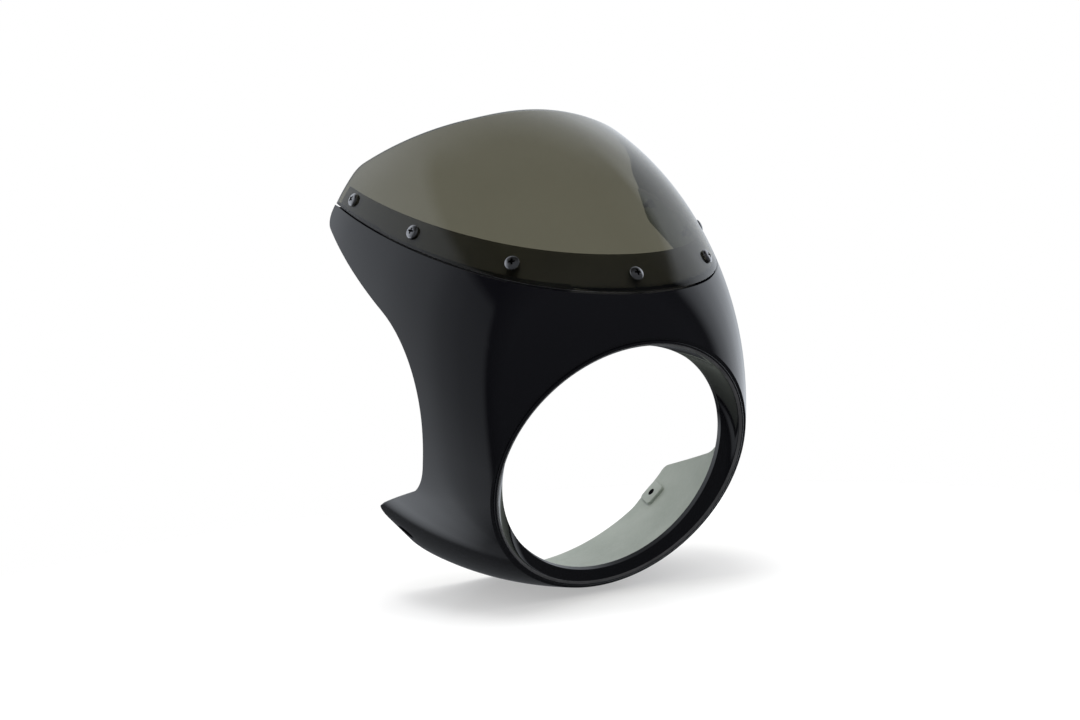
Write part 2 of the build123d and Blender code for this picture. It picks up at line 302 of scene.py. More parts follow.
def corners_of(obj):
    flat = np.empty(3 * len(obj.data.vertices))
    obj.data.vertices.foreach_get("co", flat)
    return flat.reshape(-1, 3)


def put(obj, points):
    obj.data.vertices.foreach_set("co", np.ascontiguousarray(points, dtype=np.float64).ravel())
    obj.data.update()


def choose(obj, mask):
    """Select the vertices of a mask, with the edges and faces between them."""
    mesh = obj.data
    mesh.vertices.foreach_set("select", mask)
    ends = np.empty(2 * len(mesh.edges), dtype=np.int32)
    mesh.edges.foreach_get("vertices", ends)
    mesh.edges.foreach_set("select", mask[ends.reshape(-1, 2)].all(1))
    for face in mesh.polygons:
        face.select = all(mask[corner] for corner in face.vertices)


def edit(obj, *steps):
    """Run steps in edit mode."""
    activate(obj)
    bpy.ops.object.mode_set(mode="EDIT")
    for step in steps:
        step()
    bpy.ops.object.mode_set(mode="OBJECT")


def merge(obj, distance=TOUCHING):
    choose(obj, np.ones(len(obj.data.vertices), dtype=bool))
    edit(obj, lambda: bpy.ops.mesh.remove_doubles(threshold=distance))


def face_outwards(obj):
    choose(obj, np.ones(len(obj.data.vertices), dtype=bool))
    edit(obj, lambda: bpy.ops.mesh.normals_make_consistent(inside=False))


def finish_with(obj, kind, **settings):
    """Add a modifier and apply it."""
    activate(obj)
    modifier = obj.modifiers.new(kind.lower(), kind)
    for key, value in settings.items():
        setattr(modifier, key, value)
    bpy.ops.object.modifier_apply(modifier=modifier.name)


def combine(obj, tool, operation):
    finish_with(obj, "BOOLEAN", object=tool, operation=operation, solver="EXACT")
    bpy.data.objects.remove(tool)


def smooth(obj, degrees):
    activate(obj)
    bpy.ops.object.shade_smooth_by_angle(angle=radians(degrees))


def dress(obj, *finishes):
    for finish in finishes:
        obj.data.materials.append(finish)


def use_slot(obj, slot):
    """Give every face one material slot."""
    obj.data.polygons.foreach_set("material_index", [slot] * len(obj.data.polygons))


def placed(obj, place):
    """Move a piece to its place and keep its object at the origin."""
    activate(obj)
    obj.matrix_world = place
    bpy.ops.object.transform_apply(location=True, rotation=True, scale=True)
    return obj


def grid_on_skin(name, columns, rows, lay):
    """Grid whose vertex in a column and row goes where lay says."""
    bpy.ops.object.select_all(action="DESELECT")
    bpy.ops.mesh.primitive_grid_add(x_subdivisions=columns, y_subdivisions=rows, size=1)
    obj = added(name)
    at = corners_of(obj) + 0.5
    put(obj, lay(np.rint(at[:, 0] * columns).astype(int), np.rint(at[:, 1] * rows).astype(int)))
    return obj


def turned(name, profile, sides):
    """Round piece about Z, drawn through the radii and heights of its profile from a disc at its start."""
    radius, height = profile[0]
    bpy.ops.object.select_all(action="DESELECT")
    bpy.ops.mesh.primitive_circle_add(vertices=sides, radius=radius, fill_type="NGON", location=(0, 0, 0))
    obj = added(name)

    def draw():
        at_radius, at_height = radius, height
        bpy.ops.transform.translate(value=(0, 0, height))
        for next_radius, next_height in profile[1:]:
            rise = (0, 0, next_height - at_height)
            bpy.ops.mesh.extrude_region_move(TRANSFORM_OT_translate={"value": rise})
            scale = next_radius / at_radius
            bpy.ops.transform.resize(value=(scale, scale, 1), center_override=(0, 0, next_height))
            at_radius, at_height = next_radius, next_height

    edit(obj, draw)
    face_outwards(obj)
    return obj


def copies(obj, places):
    """A copy with its own mesh at every place, joined as one piece."""
    name = obj.name
    made = []
    for place in places:
        copy = bpy.data.objects.new(name, obj.data.copy())
        bpy.context.scene.collection.objects.link(copy)
        made.append(placed(copy, place))
    bpy.data.objects.remove(obj)
    activate(made[0])
    for copy in made:
        copy.select_set(True)
    bpy.ops.object.join()
    made[0].name = made[0].data.name = name
    return made[0]


# Camera

def add_camera():
    """Camera at the photograph's angle."""
    data = bpy.data.cameras.new("camera")
    camera = bpy.data.objects.new("camera", data)
    bpy.context.scene.collection.objects.link(camera)
    turn = Matrix((CAMERA_RIGHT, -CAMERA_DOWN, -CAMERA_AHEAD)).transposed()
    camera.matrix_world = Matrix.Translation(CAMERA_PLACE) @ turn.to_4x4()
    data.sensor_width = CAMERA_SENSOR
    data.lens = CAMERA_LENS
    data.clip_start, data.clip_end = CAMERA_NEAR, CAMERA_FAR
    bpy.context.scene.camera = camera


# Cowl

def cowl_ribs():
    """Angles of the cowl's ribs, once round from keel to keel, and the share at which each one ends."""
    outline = rounded_line(COWL_CORNERS)

    def ends(angles):
        return share_where(angles, lambda share: outside(skin(angles, share), outline))

    fine = np.linspace(-pi / 2, pi / 2, COWL_SAMPLES)
    rim = skin(fine, ends(fine))
    corner = np.argmin(np.hypot(rim[:, 1] - REAR_Y, rim[:, 2] - SEAM_Z))
    low = evenly(fine[:corner + 1], rim[:corner + 1], RIB_STEP)
    high = evenly(fine[corner:], rim[corner:], RIB_STEP)
    right = np.concatenate([low, high[1:]])
    ring = np.concatenate([right, pi - right[-2::-1]])[::-1]
    return ring, ends(ring)


def flatten_ears(points):
    """Press the skin of both ears down to a flat, with a soft line where the flat starts."""
    place = ear_places(EAR_HOLE_Y - EAR_FLAT_RUN)[0] @ Matrix.Rotation(-EAR_FLAT_TILT, 4, "X")
    normal, start = np.array(place.col[2][:3]), np.array(place.translation)
    for side in (1, -1):
        mirror = np.array((side, 1, 1))
        from_start = points - start * mirror
        high = from_start @ (normal * mirror)
        near = np.linalg.norm(from_start, axis=1) < EAR_FLAT_REACH
        pressed = (high + np.sqrt(high ** 2 + EAR_FLAT_SOFT ** 2)) / 2
        points = points - np.where(near, pressed, 0)[:, None] * (normal * mirror)
    return points


def lip_profile():
    """Radii and depths of the bead and its rounding, from the skin to the funnel."""
    steps = np.linspace(0, 1, ROUND_STEPS + 1)
    bead_r, bead_y = BEAD_R - BEAD_ROUND, BEAD_ROUND - BEAD_RISE
    bead = [(bead_r + BEAD_ROUND * cos(a), bead_y - BEAD_ROUND * sin(a)) for a in steps * pi / 2]
    slope = atan2(SEAT_FRONT + BEAD_RISE, FUNNEL_R - SEAT_R - 4 * FUNNEL_BOW)
    round_r, round_y = FUNNEL_R + FUNNEL_ROUND * tan(slope / 2), FUNNEL_ROUND - BEAD_RISE
    into_funnel = [(round_r - FUNNEL_ROUND * sin(a), round_y - FUNNEL_ROUND * cos(a)) for a in steps * slope]
    return [(BEAD_R, 0)] + bead + into_funnel


def draw_lip(obj):
    """Draw the lip's edge inwards over the bead, back along the funnel and into the lamp seat."""
    points = corners_of(obj)
    on_plane = np.abs(points[:, 1] + LEAN * points[:, 2]) < TOUCHING
    choose(obj, on_plane & (np.hypot(points[:, 0], points[:, 2]) < LIP_R * LIP_SLACK))

    def draw():
        radius, depth = LIP_R, 0

        def step(next_radius, next_depth, upright):
            nonlocal radius, depth
            back = (0, next_depth - depth, 0)
            bpy.ops.mesh.extrude_region_move(TRANSFORM_OT_translate={"value": back})
            scale = next_radius / radius
            middle = (0, next_depth, 0)
            bpy.ops.transform.resize(value=(scale, scale * upright, scale), center_override=middle)
            radius, depth = next_radius, next_depth

        for next_radius, next_depth in lip_profile():
            step(next_radius, next_depth, 1)
        front_radius, front = radius, depth
        left = 1
        for share in FUNNEL_RINGS:
            lean = (1 - share) / left
            bow = 4 * FUNNEL_BOW * share * (1 - share)
            next_radius = front_radius + (SEAT_R - front_radius) * share + bow
            step(next_radius, front + (SEAT_FRONT - front) * share, lean)
            left = 1 - share
        step(SEAT_R, SEAT_FRONT + SEAT_EDGE, 0)
        step(SEAT_R, SEAT_REAR, 0)

    edit(obj, draw)


def flange_line(angle, rise):
    """Points at which ribs of the inset skin reach a share of the flange's height."""
    def over(share):
        at = inset_skin(angle, share, FLANGE_INSET)
        height = FLANGE_NOSE_H + (FLANGE_REAR_H - FLANGE_NOSE_H) * at[..., 1] / FLANGE_REAR_Y
        return at[..., 2] > SEAM_Z + rise * height

    return inset_skin(angle, share_where(angle, over), FLANGE_INSET)


def flange_rows(seam):
    """Rows of the flange, from the step behind the seam's points to the top edge."""
    fine = np.linspace(pi / 2, REAR_ANGLE, FLANGE_SAMPLES)
    along = lengths_along(flange_line(fine, 0))
    ways = np.interp(-np.arctan2(seam[:, 2], np.abs(seam[:, 0])), -fine, along)
    mirror = np.stack([np.where(seam[:, 0] < 0, -1, 1), np.ones(len(seam)), np.ones(len(seam))], -1)
    rows = []
    for rise in np.linspace(0, 1, FLANGE_ROWS + 1):
        line = flange_line(fine, rise)
        along = lengths_along(line)
        marks = ways / ways.max() * np.interp(FLANGE_REAR_Y, line[:, 1], along)
        rows.append(flange_line(np.interp(marks, along, fine), rise) * mirror)
    return rows


def draw_flange(obj):
    """Draw the seam's edge inwards and up to the flange behind the screen."""
    points = corners_of(obj)
    seam = (np.abs(points[:, 2] - SEAM_Z) < TOUCHING) & (points[:, 1] < FLANGE_REAR_Y)
    choose(obj, seam)
    start = points[seam]
    current = start
    for row in flange_rows(start):
        count = len(obj.data.vertices)
        edit(obj, bpy.ops.mesh.extrude_region_move)
        points = corners_of(obj)
        order = count + np.lexsort(points[count:].T)
        points[order] = row[np.lexsort(current.T)]
        put(obj, points)
        current = corners_of(obj)[order][np.argsort(np.lexsort(current.T))]


def ear_places(depth):
    """Places on both ears at a depth, right and left."""
    share = float(share_where(EAR_ANGLE, lambda at: skin(EAR_ANGLE, at)[..., 1] > depth))
    return [skin_place(EAR_ANGLE, share), skin_place(pi - EAR_ANGLE, share)]


def ear_pads():
    """Raised square pads inside the ears."""
    bpy.ops.object.select_all(action="DESELECT")
    bpy.ops.mesh.primitive_plane_add(size=EAR_PAD)
    pad = added("ear_pad")
    finish_with(pad, "BEVEL", affect="VERTICES", width=EAR_PAD_ROUND, segments=ROUND_STEPS)
    finish_with(pad, "SOLIDIFY", thickness=EAR_PAD_RISE + WALL / 2, offset=1)
    finish_with(pad, "BEVEL", limit_method="ANGLE", width=EAR_PAD_EDGE, segments=3)
    sink = Matrix.Translation((0, 0, -WALL - EAR_PAD_RISE))
    return copies(pad, [place @ sink for place in ear_places(EAR_HOLE_Y)])


def ear_holes():
    """Cutter for the pocket and hole of both ears."""
    profile = [
        (EAR_POCKET_R, CUTTER_REACH), (EAR_POCKET_R, -EAR_POCKET_DEPTH),
        (EAR_HOLE_R, -EAR_POCKET_DEPTH), (EAR_HOLE_R, -CUTTER_REACH),
    ]
    return copies(turned("ear_hole", profile, ROUND_SIDES), ear_places(EAR_HOLE_Y))


def flange_holes(places):
    """Cutter for the screw holes of the flange and the flat seats behind them."""
    hole = [(FLANGE_HOLE_R, GRIP), (FLANGE_HOLE_R, -GRIP)]
    profile = hole + [(WASHER_SEAT_R, -GRIP), (WASHER_SEAT_R, -2 * GRIP)]
    return copies(turned("flange_hole", profile, ROUND_SIDES), places)


def on_painted_highlight_line(point):
    """Whether a point lies on the thin ring between bead and funnel that carries the painted highlight line.
    """
    radius = np.hypot(point.x, point.z)
    return PAINTED_HIGHLIGHT_R[0] < radius < PAINTED_HIGHLIGHT_R[1] and point.y + LEAN * point.z < PAINTED_HIGHLIGHT_DEPTH


def cowl_shell(places, paint, raw, flange, painted_highlight):
    ring, ends = cowl_ribs()

    def lay(column, row):
        return skin(ring[column], ends[column] * (row / STATIONS) ** CROWD)

    shell = grid_on_skin("cowl", len(ring) - 1, STATIONS, lay)
    dress(shell, paint, raw, flange, raw, painted_highlight, raw)
    merge(shell)
    put(shell, flatten_ears(corners_of(shell)))
    draw_lip(shell)
    draw_flange(shell)
    # The thin ring between bead and funnel gets the painted highlight line.
    for face in shell.data.polygons:
        on_flange = face.center.z > SEAM_Z + EDGE_ROUND
        face.material_index = FLANGE if on_flange else PAINTED_HIGHLIGHT if on_painted_highlight_line(face.center) else PAINT
    finish_with(shell, "SOLIDIFY", thickness=WALL, offset=-1, use_even_offset=True, use_quality_normals=True,
                material_offset=RAW - PAINT)
    points = corners_of(shell)
    points[:, 1] = np.minimum(points[:, 1], REAR_Y)
    put(shell, points)
    finish_with(shell, "BEVEL", limit_method="ANGLE", angle_limit=EDGE_ANGLE, width=EDGE_ROUND, segments=2)
    pads = ear_pads()
    dress(pads, paint, raw)
    use_slot(pads, RAW)
    combine(shell, pads, "UNION")
    combine(shell, ear_holes(), "DIFFERENCE")
    combine(shell, flange_holes(places), "DIFFERENCE")
    merge(shell, WELD)
    smooth(shell, COWL_CREASE)
    return shell


# Screen

def screen_edges():
    """Angles and shares of the screen's lower and upper edges, at even lengths from side to side."""
    outline = rounded_line(SCREEN_CORNERS)
    fine = np.linspace(REAR_ANGLE, pi / 2, SCREEN_SAMPLES)

    def low_share(angles):
        return share_at_height(angles, SCREEN_LOW)

    def high_share(angles):
        return share_where(angles, lambda share: outside(skin(angles, share), outline))

    low, high = low_share(fine), high_share(fine)
    first_low = np.argmax(high > low)
    first_high = np.flatnonzero(skin(fine, high)[:, 1] > REAR_Y - TOUCHING)[-1]
    edges = []
    for first, shares, share_at in ((first_low, low, low_share), (first_high, high, high_share)):
        along = lengths_along(skin(fine[first:], shares[first:]))
        right = np.interp(np.linspace(0, along[-1], SCREEN_COLUMNS // 2 + 1), along, fine[first:])
        angles = np.concatenate([right, pi - right[-2::-1]])[::-1]
        edges.append((angles, share_at(angles)))
    return edges


def windscreen(places, acrylic, painted_seam_shade):
    (low_angle, low_share), (high_angle, high_share) = screen_edges()

    def lay(column, row):
        way = row / SCREEN_ROWS
        angle = low_angle[column] * (1 - way) + high_angle[column] * way
        return skin(angle, low_share[column] * (1 - way) + high_share[column] * way)

    screen = grid_on_skin("screen", SCREEN_COLUMNS, SCREEN_ROWS, lay)
    dress(screen, acrylic, painted_seam_shade)
    finish_with(screen, "SOLIDIFY", thickness=WALL, offset=-1, use_even_offset=True, use_quality_normals=True)
    points = corners_of(screen)
    points[:, 1] = np.minimum(points[:, 1], REAR_Y)
    points[:, 2] = np.maximum(points[:, 2], SCREEN_LOW)
    put(screen, points)
    finish_with(screen, "BEVEL", limit_method="ANGLE", angle_limit=EDGE_ANGLE, width=SCREEN_EDGE_ROUND,
                segments=3)
    hole = turned("screen_hole", [(SCREEN_HOLE_R, GRIP), (SCREEN_HOLE_R, -GRIP)], ROUND_SIDES)
    combine(screen, copies(hole, places), "DIFFERENCE")
    # Faces of the lower edge get the painted shade of the seam gap.
    for face in screen.data.polygons:
        face.material_index = int(face.center.z < SCREEN_LOW + SCREEN_EDGE_ROUND)
    smooth(screen, SCREEN_CREASE)
    return screen


# Screws, nuts and washers: their own frame has the skin at zero and the head above it

def screw_places():
    """Places of the screws, from the left rear round the nose to the right rear."""
    fine = np.linspace(pi / 2, REAR_ANGLE, SCREEN_SAMPLES)
    along = lengths_along(skin(fine, share_at_height(fine, SCREW_Z)))
    places = []
    for number in range(-SCREWS_A_SIDE, SCREWS_A_SIDE + 1):
        angle = np.interp(abs(number) * SCREW_PITCH, along, fine)
        share = float(share_at_height(angle, SCREW_Z))
        place = skin_place(pi - angle if number < 0 else angle, share)
        places.append(place @ Matrix.Rotation(number * SCREW_TURN, 4, "Z"))
    return places


def cross_recess():
    """Cutter for a cross recess: two crossed bars that narrow downwards."""
    bars = []
    for turn in (0, pi / 2):
        bpy.ops.object.select_all(action="DESELECT")
        bpy.ops.mesh.primitive_cube_add(size=1)
        bar = added("recess")
        edit(bar, lambda: bpy.ops.transform.resize(value=(RECESS_SPAN, RECESS_SLOT, 2 * RECESS_DEPTH)))
        choose(bar, corners_of(bar)[:, 2] < 0)
        edit(bar, lambda: bpy.ops.transform.resize(value=RECESS_TAPER))
        bars.append(placed(bar, Matrix.Translation((0, 0, HEAD_H)) @ Matrix.Rotation(turn, 4, "Z")))
    combine(bars[0], bars[1], "UNION")
    return bars[0]


def screws(places, metal, painted_shade):
    """Pan head screws with a domed top, a cross recess painted near black as painted shade, and a ridged
    thread.
    """
    steps = np.linspace(DOME_START, 1, 2 * ROUND_STEPS)
    dome = [(HEAD_R * sin(pi / 2 * at), HEAD_RIM + (HEAD_H - HEAD_RIM) * cos(pi / 2 * at)) for at in steps]
    rim = [(HEAD_R, HEAD_EDGE), (HEAD_R - HEAD_EDGE, 0), (THREAD_R, 0)]
    ridges = []
    for turn in range(THREAD_TURNS):
        top = -SCREW_LENGTH + SCREW_TIP + (THREAD_TURNS - turn) * THREAD_PITCH
        ridges += [(THREAD_R, top), (THREAD_R - THREAD_DEPTH, top - THREAD_PITCH / 2)]
    tip = [(THREAD_R, -SCREW_LENGTH + SCREW_TIP), (THREAD_R - SCREW_TIP, -SCREW_LENGTH)]
    screw = turned("screws", dome + rim + ridges + tip, ROUND_SIDES)
    recess = cross_recess()
    dress(screw, metal, painted_shade)
    dress(recess, metal, painted_shade)
    # The recess is painted near black: painted shade.
    use_slot(recess, PAINTED_SHADE)
    combine(screw, recess, "DIFFERENCE")
    smooth(screw, SCREW_CREASE)
    return copies(screw, places)


def nuts(places, metal):
    top, low = -GRIP - WASHER_H, -GRIP - WASHER_H - NUT_H
    corner = NUT_FLATS / 2 / cos(pi / 6)
    edge = NUT_EDGE
    profile = [(corner - edge, top), (corner, top - edge), (corner, low + edge), (corner - edge, low)]
    nut = turned("nuts", profile, 6)
    hole = turned("nut_hole", [(NUT_HOLE_R, 0), (NUT_HOLE_R, 2 * low)], ROUND_SIDES)
    combine(nut, hole, "DIFFERENCE")
    smooth(nut, NUT_CREASE)
    dress(nut, metal)
    return copies(nut, places)


def washers(places, metal):
    top, low, edge = -GRIP, -GRIP - WASHER_H, WASHER_EDGE
    profile = [(WASHER_R - edge, top), (WASHER_R, top - edge), (WASHER_R, low + edge), (WASHER_R - edge, low)]
    washer = turned("washers", profile, ROUND_SIDES)
    hole = turned("washer_hole", [(WASHER_HOLE_R, 0), (WASHER_HOLE_R, 2 * low)], ROUND_SIDES)
    combine(washer, hole, "DIFFERENCE")
    smooth(washer, WASHER_CREASE)
    dress(washer, metal)
    return copies(washer, places)


# Finishes

def unevenness_group():
    """Shared effect: broad and fine unevenness of a moulded or plated surface, as values about one half."""
    group = bpy.data.node_groups.new("unevenness", "ShaderNodeTree")
    face = group.interface
    for name, value in (("Broad Scale", 12), ("Fine Scale", 300)):
        face.new_socket(name, in_out="INPUT", socket_type="NodeSocketFloat").default_value = value
    for name in ("Broad", "Fine"):
        face.new_socket(name, in_out="OUTPUT", socket_type="NodeSocketFloat")
    nodes, links = group.nodes, group.links
    given, result = nodes.new("NodeGroupInput"), nodes.new("NodeGroupOutput")
    place = nodes.new("ShaderNodeTexCoord")
    for name, detail in (("Broad", 3), ("Fine", 5)):
        noise = nodes.new("ShaderNodeTexNoise")
        noise.inputs["Detail"].default_value = detail
        links.new(place.outputs["Object"], noise.inputs["Vector"])
        links.new(given.outputs[name + " Scale"], noise.inputs["Scale"])
        links.new(noise.outputs["Fac"], result.inputs[name])
    return group


class Finish:
    """A material with its shader and the shared unevenness, ready to be linked."""

    def __init__(self, name, group, broad, fine):
        self.material = bpy.data.materials.new(name)
        self.material.use_nodes = True
        self.nodes = self.material.node_tree.nodes
        self.links = self.material.node_tree.links
        self.shader = self.nodes["Principled BSDF"]
        self.uneven = self.nodes.new("ShaderNodeGroup")
        self.uneven.node_tree = group
        self.uneven.inputs["Broad Scale"].default_value = broad
        self.uneven.inputs["Fine Scale"].default_value = fine

    def set(self, **values):
        for name, value in values.items():
            self.shader.inputs[name.replace("_", " ")].default_value = value

    def spread(self, source, low, high):
        """Value between low and high that follows an output of the unevenness."""
        ramp = self.nodes.new("ShaderNodeMapRange")
        ramp.inputs["From Min"].default_value, ramp.inputs["From Max"].default_value = NOISE_LOW, NOISE_HIGH
        ramp.inputs["To Min"].default_value, ramp.inputs["To Max"].default_value = low, high
        self.links.new(self.uneven.outputs[source], ramp.inputs["Value"])
        return ramp.outputs["Result"]

    def roughen(self, source, low, high):
        self.links.new(self.spread(source, low, high), self.shader.inputs["Roughness"])

    def mottle(self, source, dark, light):
        """Base colour between two colours."""
        mix = self.nodes.new("ShaderNodeMix")
        mix.data_type = "RGBA"
        mix.inputs["A"].default_value, mix.inputs["B"].default_value = (*dark, 1), (*light, 1)
        self.links.new(self.spread(source, 0, 1), mix.inputs["Factor"])
        self.links.new(mix.outputs["Result"], self.shader.inputs["Base Color"])

    def dent(self, source, distance):
        """Fine relief of a depth."""
        bump = self.nodes.new("ShaderNodeBump")
        bump.inputs["Distance"].default_value = distance
        self.links.new(self.uneven.outputs[source], bump.inputs["Height"])
        self.links.new(bump.outputs["Normal"], self.shader.inputs["Normal"])


def gloss_black(group):
    """Polished black paint with a trace of orange peel."""
    finish = Finish("gloss_black", group, broad=9, fine=160)
    finish.set(IOR=1.5)
    finish.mottle("Broad", (0.0026, 0.0026, 0.0038), (0.0036, 0.0036, 0.0048))
    finish.roughen("Broad", 0.05, 0.09)
    finish.dent("Fine", 0.004 * MM)
    return finish.material


def flange_painted_sheen(group):
    """Flange behind the screen, left satin, in a pale bluish grey that is partly painted reflection of the
    sheen on the screen over it.
    """
    finish = Finish("flange_painted_sheen", group, broad=30, fine=380)
    finish.mottle("Broad", (0.35, 0.355, 0.405), (0.43, 0.435, 0.485))
    finish.roughen("Fine", 0.35, 0.5)
    finish.dent("Fine", 0.02 * MM)
    return finish.material


def painted_highlight_edge(group):
    """Painted highlight: a paler satin line on the lip that stands for the light line round the edge of the
    opening.
    """
    finish = Finish("painted_highlight_edge", group, broad=60, fine=500)
    finish.mottle("Broad", (0.045, 0.045, 0.048), (0.075, 0.075, 0.08))
    finish.roughen("Fine", 0.3, 0.45)
    finish.dent("Fine", 0.01 * MM)
    return finish.material


def raw_inside(group):
    """Bare grey-green moulding."""
    finish = Finish("raw_inside", group, broad=28, fine=420)
    finish.mottle("Broad", (0.31, 0.345, 0.31), (0.37, 0.405, 0.37))
    finish.roughen("Fine", 0.42, 0.62)
    finish.dent("Fine", 0.12 * MM)
    return finish.material


def smoked_acrylic(group):
    """Polished smoked acrylic, which lets tinted light through in shadows too."""
    finish = Finish("smoked_acrylic", group, broad=14, fine=220)
    finish.set(IOR=1.49, Transmission_Weight=1.0)
    finish.mottle("Broad", SMOKE, [SMOKE_SPREAD * part for part in SMOKE])
    finish.roughen("Fine", 0.0, 0.025)
    nodes, links = finish.nodes, finish.links
    path, clear = nodes.new("ShaderNodeLightPath"), nodes.new("ShaderNodeBsdfTransparent")
    clear.inputs["Color"].default_value = (*[part ** SHADOW_SMOKE for part in SMOKE], 1)
    mix = nodes.new("ShaderNodeMixShader")
    links.new(path.outputs["Is Shadow Ray"], mix.inputs["Fac"])
    links.new(finish.shader.outputs["BSDF"], mix.inputs[1])
    links.new(clear.outputs["BSDF"], mix.inputs[2])
    links.new(mix.outputs["Shader"], nodes["Material Output"].inputs["Surface"])
    return finish.material


def painted_seam_shade(group):
    """Sawn lower edge of the screen, painted nearly black as painted shade of the seam gap below it."""
    finish = Finish("painted_seam_shade", group, broad=40, fine=600)
    finish.mottle("Broad", (0.004, 0.004, 0.0035), (0.008, 0.008, 0.007))
    finish.roughen("Fine", 0.35, 0.55)
    return finish.material


def plated(name, group, dark, light, rough):
    """Plated steel with fine tooling marks."""
    finish = Finish(name, group, broad=180, fine=1400)
    finish.set(Metallic=1.0)
    finish.mottle("Broad", dark, light)
    finish.roughen("Fine", *rough)
    finish.dent("Fine", 0.01 * MM)
    return finish.material


# Studio

def seen_straight(nodes, links):
    """One for rays from the camera, from gloss and through clear pieces, and nought for all other light."""
    path = nodes.new("ShaderNodeLightPath")
    total = path.outputs["Is Camera Ray"]
    for name in ("Is Glossy Ray", "Is Transmission Ray"):
        either = nodes.new("ShaderNodeMath")
        either.operation = "MAXIMUM"
        links.new(total, either.inputs[0])
        links.new(path.outputs[name], either.inputs[1])
        total = either.outputs["Value"]
    return total


def studio_world():
    """White surroundings for the camera, gloss and clear pieces, and soft light from above for the rest."""
    world = bpy.data.worlds.new("studio")
    bpy.context.scene.world = world
    world.use_nodes = True
    nodes, links = world.node_tree.nodes, world.node_tree.links
    light = nodes["Background"]
    light.inputs["Color"].default_value = (1, 1, 1, 1)
    way, up, level = [nodes.new("ShaderNode" + kind) for kind in ("TexCoord", "VectorMath", "MapRange")]
    up.operation = "DOT_PRODUCT"
    up.inputs[1].default_value = (0, sin(FLOOR_LEAN), cos(FLOOR_LEAN))
    level.inputs["From Min"].default_value = -1
    level.inputs["To Min"].default_value, level.inputs["To Max"].default_value = LIGHT_BELOW, LIGHT_ABOVE
    links.new(way.outputs["Generated"], up.inputs[0])
    links.new(up.outputs["Value"], level.inputs["Value"])
    links.new(level.outputs["Result"], light.inputs["Strength"])
    white = nodes.new("ShaderNodeBackground")
    white.inputs["Color"].default_value = (1, 1, 1, 1)
    mix = nodes.new("ShaderNodeMixShader")
    links.new(seen_straight(nodes, links), mix.inputs["Fac"])
    links.new(light.outputs["Background"], mix.inputs[1])
    links.new(white.outputs["Background"], mix.inputs[2])
    links.new(mix.outputs["Shader"], nodes["World Output"].inputs["Surface"])


def studio_walls():
    """Surround for the gloss: dark in front and above, pale on the left, white on the right and behind."""
    bpy.ops.object.select_all(action="DESELECT")
    bpy.ops.mesh.primitive_uv_sphere_add(segments=64, ring_count=32, radius=WALL_R)
    walls = added("studio_walls")
    material = bpy.data.materials.new("studio_walls")
    material.use_nodes = True
    nodes, links = material.node_tree.nodes, material.node_tree.links
    nodes.remove(nodes["Principled BSDF"])
    place, split = nodes.new("ShaderNodeTexCoord"), nodes.new("ShaderNodeSeparateXYZ")
    unit = nodes.new("ShaderNodeVectorMath")
    unit.operation = "NORMALIZE"
    links.new(place.outputs["Object"], unit.inputs[0])
    links.new(unit.outputs["Vector"], split.inputs["Vector"])

    def math(operation, first, second):
        node = nodes.new("ShaderNodeMath")
        node.operation = operation
        for socket, value in zip(node.inputs, (first, second)):
            if isinstance(value, (int, float)):
                socket.default_value = value
            else:
                links.new(value, socket)
        return node.outputs["Value"]

    def ramp(value, stops):
        node = nodes.new("ShaderNodeValToRGB")
        links.new(value, node.inputs["Fac"])
        marks = node.color_ramp.elements
        while len(marks) < len(stops):
            marks.new(0.5)
        for mark, (at, level) in zip(marks, stops):
            mark.position = at
        for mark, (at, level) in zip(node.color_ramp.elements, stops):
            mark.color = (level, level, level, 1)
        return node.outputs["Color"]

    turn = math("ARCTAN2", split.outputs["X"], math("MULTIPLY", split.outputs["Y"], -1))
    round_share = math("ADD", math("DIVIDE", turn, 2 * pi), 0.5)
    stops = [(azimuth / 360 + 0.5, level / WALL_PEAK) for azimuth, level in WALL_LEVELS]
    height = math("DIVIDE", math("ADD", math("ARCSINE", split.outputs["Z"], 0), pi / 2), pi)
    side, back = [
        ramp(height, [(elevation / 180 + 0.5, level / FADE_PEAK) for elevation, level in fade])
        for fade in (WALL_FADE, BACK_FADE)
    ]
    behind = ramp(round_share, [(azimuth / 360 + 0.5, share) for azimuth, share in BACK_SHARE])
    fade = math("ADD", side, math("MULTIPLY", behind, math("SUBTRACT", back, side)))
    bright = math("MULTIPLY", math("MULTIPLY", ramp(round_share, stops), fade), WALL_PEAK * FADE_PEAK)
    glow = nodes.new("ShaderNodeEmission")
    glow.inputs["Color"].default_value = WALL_WHITE
    front = math("MINIMUM", math("MULTIPLY", split.outputs["Y"], -FRONT_GLOW), FRONT_MOST)
    links.new(math("MAXIMUM", bright, front), glow.inputs["Strength"])
    links.new(glow.outputs["Emission"], nodes["Material Output"].inputs["Surface"])
    dress(walls, material)
    walls.visible_camera = walls.visible_diffuse = walls.visible_transmission = walls.visible_shadow = False


